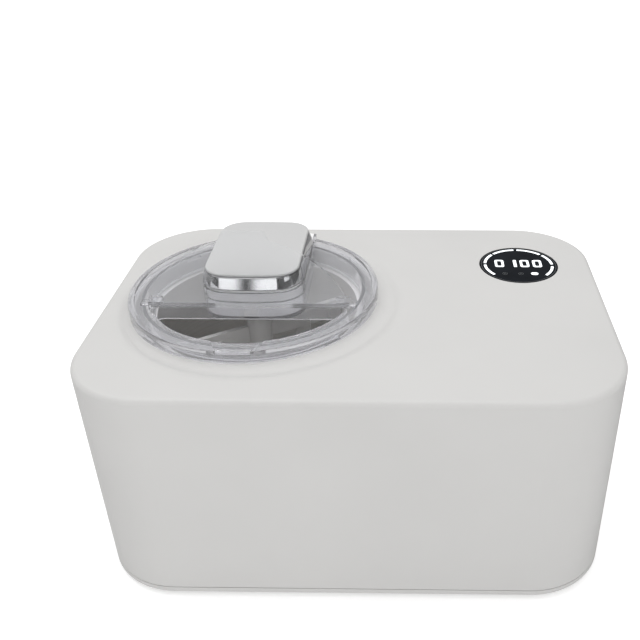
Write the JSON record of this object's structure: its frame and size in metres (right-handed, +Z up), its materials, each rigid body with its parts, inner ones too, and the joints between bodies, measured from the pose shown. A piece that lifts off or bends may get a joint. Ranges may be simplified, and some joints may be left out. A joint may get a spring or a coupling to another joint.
{
  "type": "ice cream maker",
  "caption": "Counter-top compressor ice cream maker: white rounded housing, clear round lid with pouring flap, motor unit with bright band, metal bowl, paddle and round display.",
  "frame": {"origin": "on the surface the feet stand on, under the middle of the housing", "axes": "+X to the right along the longest side, +Y to the back, +Z up"},
  "size_m": [0.39, 0.273, 0.2493],
  "materials": {
    "housing_white": "fine satin texture, warm white",
    "ring_white": "smooth moulded",
    "foot_rubber": "matt",
    "screw_steel": "zinc plated",
    "pad_brass": "gold plated contacts",
    "well_aluminium": "spun",
    "bowl_aluminium": "dark hard anodised, circular brushing",
    "copper_tube": "copper pipe",
    "foam_cream": "rigid foam",
    "sensor_black": "moulded",
    "compressor_black": "black enamel",
    "galvanised_steel": "galvanised sheet",
    "fin_aluminium": "mill finish",
    "glass_black": "black touch glass",
    "display_light": "lit white symbols on the display glass",
    "board_green": "printed circuit board",
    "lid_clear": "clear moulded plastic",
    "gasket_silicone": "translucent silicone",
    "unit_white": "glossy white",
    "case_grey": "light grey",
    "band_chrome": "bright plated",
    "gear_nylon": "natural nylon",
    "paddle_grey": "food-safe plastic"
  },
  "bodies": {
    "housing": {"base_tray": "housing_white", "rubber_feet": "foot_rubber", "base_screws": "screw_steel", "housing_shell": "housing_white", "cord_gland": "foot_rubber", "well_ring": "ring_white", "contact_pads": "pad_brass", "cooling_well": "well_aluminium", "evaporator_coil": "copper_tube", "insulation_foam": "foam_cream", "temperature_sensor": "sensor_black", "compressor_shell": "compressor_black", "compressor_plate": "galvanised_steel", "compressor_grommets": "foot_rubber", "condenser_fins": "fin_aluminium", "condenser_tube": "copper_tube", "filter_drier": "copper_tube", "capillary_tube": "copper_tube", "refrigerant_lines": "copper_tube", "fan_shroud": "sensor_black", "fan_motor": "galvanised_steel", "display_glass": "glass_black", "display_segments": "display_light", "display_carrier": "sensor_black", "display_board": "board_green", "power_board": "board_green"},
    "bowl": {"bowl": "bowl_aluminium"},
    "lid": {"clear_lid": "lid_clear", "lid_gasket": "gasket_silicone"},
    "flap": {"pour_flap": "lid_clear"},
    "motor_unit": {"motor_case": "case_grey", "chrome_band": "band_chrome", "top_cover": "unit_white", "contact_pins": "pad_brass", "gear_plate": "screw_steel", "gear_axle": "screw_steel", "drive_motor": "galvanised_steel", "output_bush": "pad_brass", "unit_screws": "screw_steel"},
    "output_drive": {"output_gear": "gear_nylon", "output_shaft": "screw_steel"},
    "compound": {"compound_gear": "gear_nylon"},
    "pinion": {"motor_pinion": "pad_brass"},
    "paddle": {"paddle": "paddle_grey"},
    "fan": {"fan_rotor": "sensor_black"}
  },
  "joints": [
    {"name": "bowl_lift", "type": "slide", "parent": "housing", "child": "bowl", "axis": [0, 0, 1], "range_m": [0, 0.14]},
    {"name": "lid_lift", "type": "slide", "parent": "bowl", "child": "lid", "axis": [0, 0, 1], "range_m": [0, 0.135]},
    {"name": "unit_lift", "type": "slide", "parent": "lid", "child": "motor_unit", "axis": [0, 0, 1], "range_m": [0, 0.05]},
    {"name": "flap_hinge", "type": "hinge", "parent": "lid", "child": "flap", "pos_m": [-0.08, -0.02, 0.18935], "axis": [1, 0, 0], "range_deg": [0, 94]},
    {"name": "paddle_spin", "type": "hinge", "parent": "lid", "child": "paddle", "pos_m": [-0.08, 0.008, 0.12], "axis": [0, 0, 1], "continuous": true},
    {"name": "output_spin", "type": "hinge", "parent": "motor_unit", "child": "output_drive", "pos_m": [-0.08, 0.008, 0.18], "axis": [0, 0, 1], "continuous": true},
    {"name": "compound_spin", "type": "hinge", "parent": "motor_unit", "child": "compound", "pos_m": [-0.07401, 0.02834, 0.202], "axis": [0, 0, 1], "continuous": true},
    {"name": "pinion_spin", "type": "hinge", "parent": "motor_unit", "child": "pinion", "pos_m": [-0.08, 0.047, 0.202], "axis": [0, 0, 1], "continuous": true},
    {"name": "fan_spin", "type": "hinge", "parent": "housing", "child": "fan", "pos_m": [0.18, 0, 0.092], "axis": [1, 0, 0], "continuous": true}
  ],
  "couplings": [
    {"joint": "output_spin", "follows": "paddle_spin", "ratio": 1},
    {"joint": "compound_spin", "follows": "paddle_spin", "ratio": -3.0769},
    {"joint": "pinion_spin", "follows": "paddle_spin", "ratio": 11.282}
  ]
}
